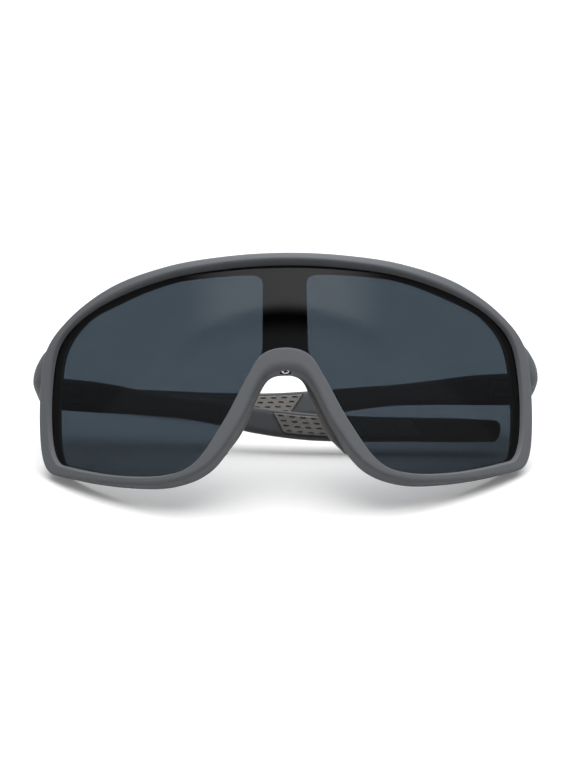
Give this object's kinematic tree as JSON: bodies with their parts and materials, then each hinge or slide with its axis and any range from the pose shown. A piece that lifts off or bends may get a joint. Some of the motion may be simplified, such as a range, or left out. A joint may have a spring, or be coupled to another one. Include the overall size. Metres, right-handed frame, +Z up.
{
  "type": "shield sunglasses",
  "caption": "Wrap-around shield sunglasses with a one-piece smoke lens, rubber nose saddle and two folding temples with rubber grips, shown folded.",
  "frame": {"origin": "middle of the bounding box, on the table that the folded sunglasses stand on", "axes": "+Z up; +X to the wearer's left, along the width; +Y to the rear, so that the lens faces -Y and leans back by 37 degrees"},
  "size_m": [0.1458, 0.0826, 0.0638],
  "materials": {
    "frame_plastic": "matte slate grey, fine moulded grain",
    "temple_plastic": "matte slate grey, fine moulded grain",
    "smoke_lens": "clear polished smoke polycarbonate",
    "lens_print": "printed gloss black mask",
    "nose_rubber": "satin warm grey rubber",
    "grip_rubber": "matte warm grey rubber",
    "hinge_steel": "brushed stainless steel",
    "screw_steel": "bright turned stainless steel",
    "insert_brass": "plain turned brass"
  },
  "bodies": {
    "front": {"front_frame": "frame_plastic", "lens": "smoke_lens", "lens_mask": "lens_print", "nose_piece": "nose_rubber", "bridge_screw": "screw_steel", "bridge_insert": "insert_brass", "front_hinge_leaf_right": "hinge_steel", "front_hinge_leaf_left": "hinge_steel", "front_hinge_rivets_right": "hinge_steel", "front_hinge_rivets_left": "hinge_steel", "hinge_screw_right": "screw_steel", "hinge_screw_left": "screw_steel"},
    "temple_left": {"temple_arm_left": "temple_plastic", "temple_grip_left": "grip_rubber", "temple_hinge_leaf_left": "hinge_steel", "temple_hinge_rivets_left": "hinge_steel"},
    "temple_right": {"temple_arm_right": "temple_plastic", "temple_grip_right": "grip_rubber", "temple_hinge_leaf_right": "hinge_steel", "temple_hinge_rivets_right": "hinge_steel"}
  },
  "joints": [
    {"name": "temple_left_fold", "type": "hinge", "parent": "front", "child": "temple_left", "pos_m": [0.06765, 0.01075, 0.01593], "axis": [-0.0872, -0.5995, -0.7956], "range_deg": [0, 77.1]},
    {"name": "temple_right_fold", "type": "hinge", "parent": "front", "child": "temple_right", "pos_m": [-0.06765, 0.01075, 0.01593], "axis": [0.0698, 0.6003, 0.7967], "range_deg": [0, 91.5]}
  ]
}
